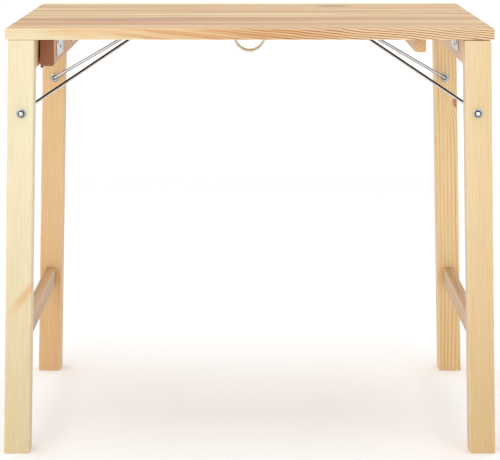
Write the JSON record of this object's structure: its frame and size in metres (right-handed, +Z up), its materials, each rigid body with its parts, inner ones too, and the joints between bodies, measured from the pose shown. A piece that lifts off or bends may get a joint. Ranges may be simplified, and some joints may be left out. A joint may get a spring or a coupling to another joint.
{
  "type": "folding table",
  "caption": "Rectangular pine folding table: two leg frames hinge flat under the solid top, held open by wire stays that hook into a sprung lock bar worked by a pull strap.",
  "frame": {"origin": "centre of the footprint, on the floor", "axes": "+X along the top's width, -Y towards the front, +Z up"},
  "size_m": [0.8342, 0.6122, 0.72],
  "materials": {
    "top_pine": "sealed glued pine staves, satin",
    "pine": "planed pale pine, satin lacquer",
    "brown_pine": "pine batten with dark end grain",
    "zinc_steel": "bright zinc plate",
    "chrome_wire": "bright drawn wire and polished caps",
    "dark_steel": "dark oiled steel",
    "webbing": "woven grey-beige cotton webbing"
  },
  "bodies": {
    "top": {"tabletop": "top_pine", "spacer_batten": "brown_pine", "cleat_batten": "pine", "left_front_hinge_fixed_leaf": "zinc_steel", "left_front_hinge_pin": "dark_steel", "left_rear_hinge_fixed_leaf": "zinc_steel", "left_rear_hinge_pin": "dark_steel", "right_front_hinge_fixed_leaf": "zinc_steel", "right_front_hinge_pin": "dark_steel", "right_rear_hinge_fixed_leaf": "zinc_steel", "right_rear_hinge_pin": "dark_steel", "left_catch_bracket": "zinc_steel", "left_shoulder_screw": "zinc_steel", "left_lock_spring": "dark_steel", "right_catch_bracket": "zinc_steel", "right_shoulder_screw": "zinc_steel", "right_lock_spring": "dark_steel", "left_front_angle_plate": "zinc_steel", "left_rear_angle_plate": "zinc_steel", "spacer_screw_1": "zinc_steel", "spacer_screw_2": "zinc_steel", "spacer_screw_3": "zinc_steel", "cleat_screw_1": "zinc_steel", "cleat_screw_2": "zinc_steel", "cleat_screw_3": "zinc_steel"},
    "left_leg_frame": {"left_front_leg": "pine", "left_front_outer_washer": "zinc_steel", "left_front_inner_washer": "zinc_steel", "left_rear_leg": "pine", "left_rear_outer_washer": "zinc_steel", "left_rear_inner_washer": "zinc_steel", "left_upper_rail": "pine", "left_lower_stretcher": "pine", "left_front_hinge_moving_leaf": "zinc_steel", "left_rear_hinge_moving_leaf": "zinc_steel"},
    "right_leg_frame": {"right_front_leg": "pine", "right_front_outer_washer": "zinc_steel", "right_front_inner_washer": "zinc_steel", "right_rear_leg": "pine", "right_rear_outer_washer": "zinc_steel", "right_rear_inner_washer": "zinc_steel", "right_upper_rail": "pine", "right_lower_stretcher": "pine", "right_front_hinge_moving_leaf": "zinc_steel", "right_rear_hinge_moving_leaf": "zinc_steel"},
    "left_stay": {"left_stay_wire": "chrome_wire", "left_stay_front_cap": "chrome_wire", "left_stay_rear_cap": "chrome_wire"},
    "right_stay": {"right_stay_wire": "chrome_wire", "right_stay_front_cap": "chrome_wire", "right_stay_rear_cap": "chrome_wire"},
    "lock_bar": {"lock_bar": "zinc_steel", "pull_strap": "webbing", "left_strap_rivet_plate": "zinc_steel", "right_strap_rivet_plate": "zinc_steel"}
  },
  "joints": [
    {"name": "left_frame_fold", "type": "hinge", "parent": "top", "child": "left_leg_frame", "pos_m": [-0.351, 0, 0.648], "axis": [0, -1, 0], "range_deg": [0, 91.8]},
    {"name": "left_stay_swing", "type": "hinge", "parent": "left_leg_frame", "child": "left_stay", "pos_m": [-0.37532, 0, 0.58067], "axis": [0, -1, 0], "range_deg": [-124.31, 0]},
    {"name": "right_frame_fold", "type": "hinge", "parent": "top", "child": "right_leg_frame", "pos_m": [0.3486, 0, 0.6985], "axis": [0, 1, 0], "range_deg": [0, 91.8]},
    {"name": "right_stay_swing", "type": "hinge", "parent": "right_leg_frame", "child": "right_stay", "pos_m": [0.37532, 0, 0.58067], "axis": [0, 1, 0], "range_deg": [-124.31, 0]},
    {"name": "lock_pull", "type": "slide", "parent": "top", "child": "lock_bar", "axis": [0, 0, -1], "range_m": [0, 0.008], "stiffness_N_per_m": 600, "springref_m": -0.006, "deforming": ["left_lock_spring", "right_lock_spring", "pull_strap"]}
  ],
  "couplings": [
    {"joint": "left_stay_swing", "follows": "left_frame_fold", "ratio": -1.3486},
    {"joint": "right_stay_swing", "follows": "right_frame_fold", "ratio": -1.3486}
  ]
}
